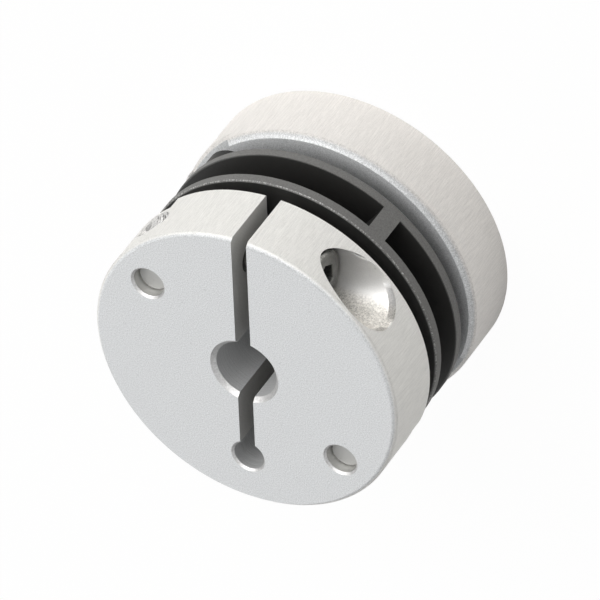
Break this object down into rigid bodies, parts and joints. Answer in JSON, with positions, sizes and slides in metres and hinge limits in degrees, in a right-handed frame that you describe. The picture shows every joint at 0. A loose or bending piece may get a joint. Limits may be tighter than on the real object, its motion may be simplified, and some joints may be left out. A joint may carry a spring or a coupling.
{
  "type": "spring-disc clamp coupling",
  "caption": "Flexible shaft coupling: split clamp hubs joined by a moulded double-disc spring element, held by drive pins and drawn tight by socket-head screws.",
  "frame": {"origin": "on the coupling's axis, at the middle of the rear hub's end face, which the coupling stands on", "axes": "+Z along the axis from the rear hub to the front hub; +Y along the front hub's slit, from the bore to the open end; +X towards the mouth of the front clamp screw's counterbore"},
  "size_m": [0.03, 0.03, 0.022],
  "materials": {
    "hub_aluminium": "turned, uncoated",
    "spring_plastic": "moulded glass-fibre polyamide, dull",
    "pin_steel": "hardened, ground",
    "screw_steel": "blackened"
  },
  "bodies": {
    "root": {"front_hub": "hub_aluminium", "rear_hub": "hub_aluminium", "spring_element": "spring_plastic", "front_pin_a": "pin_steel", "front_pin_b": "pin_steel", "rear_pin_a": "pin_steel", "rear_pin_b": "pin_steel", "front_screw": "screw_steel", "rear_screw": "screw_steel"}
  },
  "joints": []
}
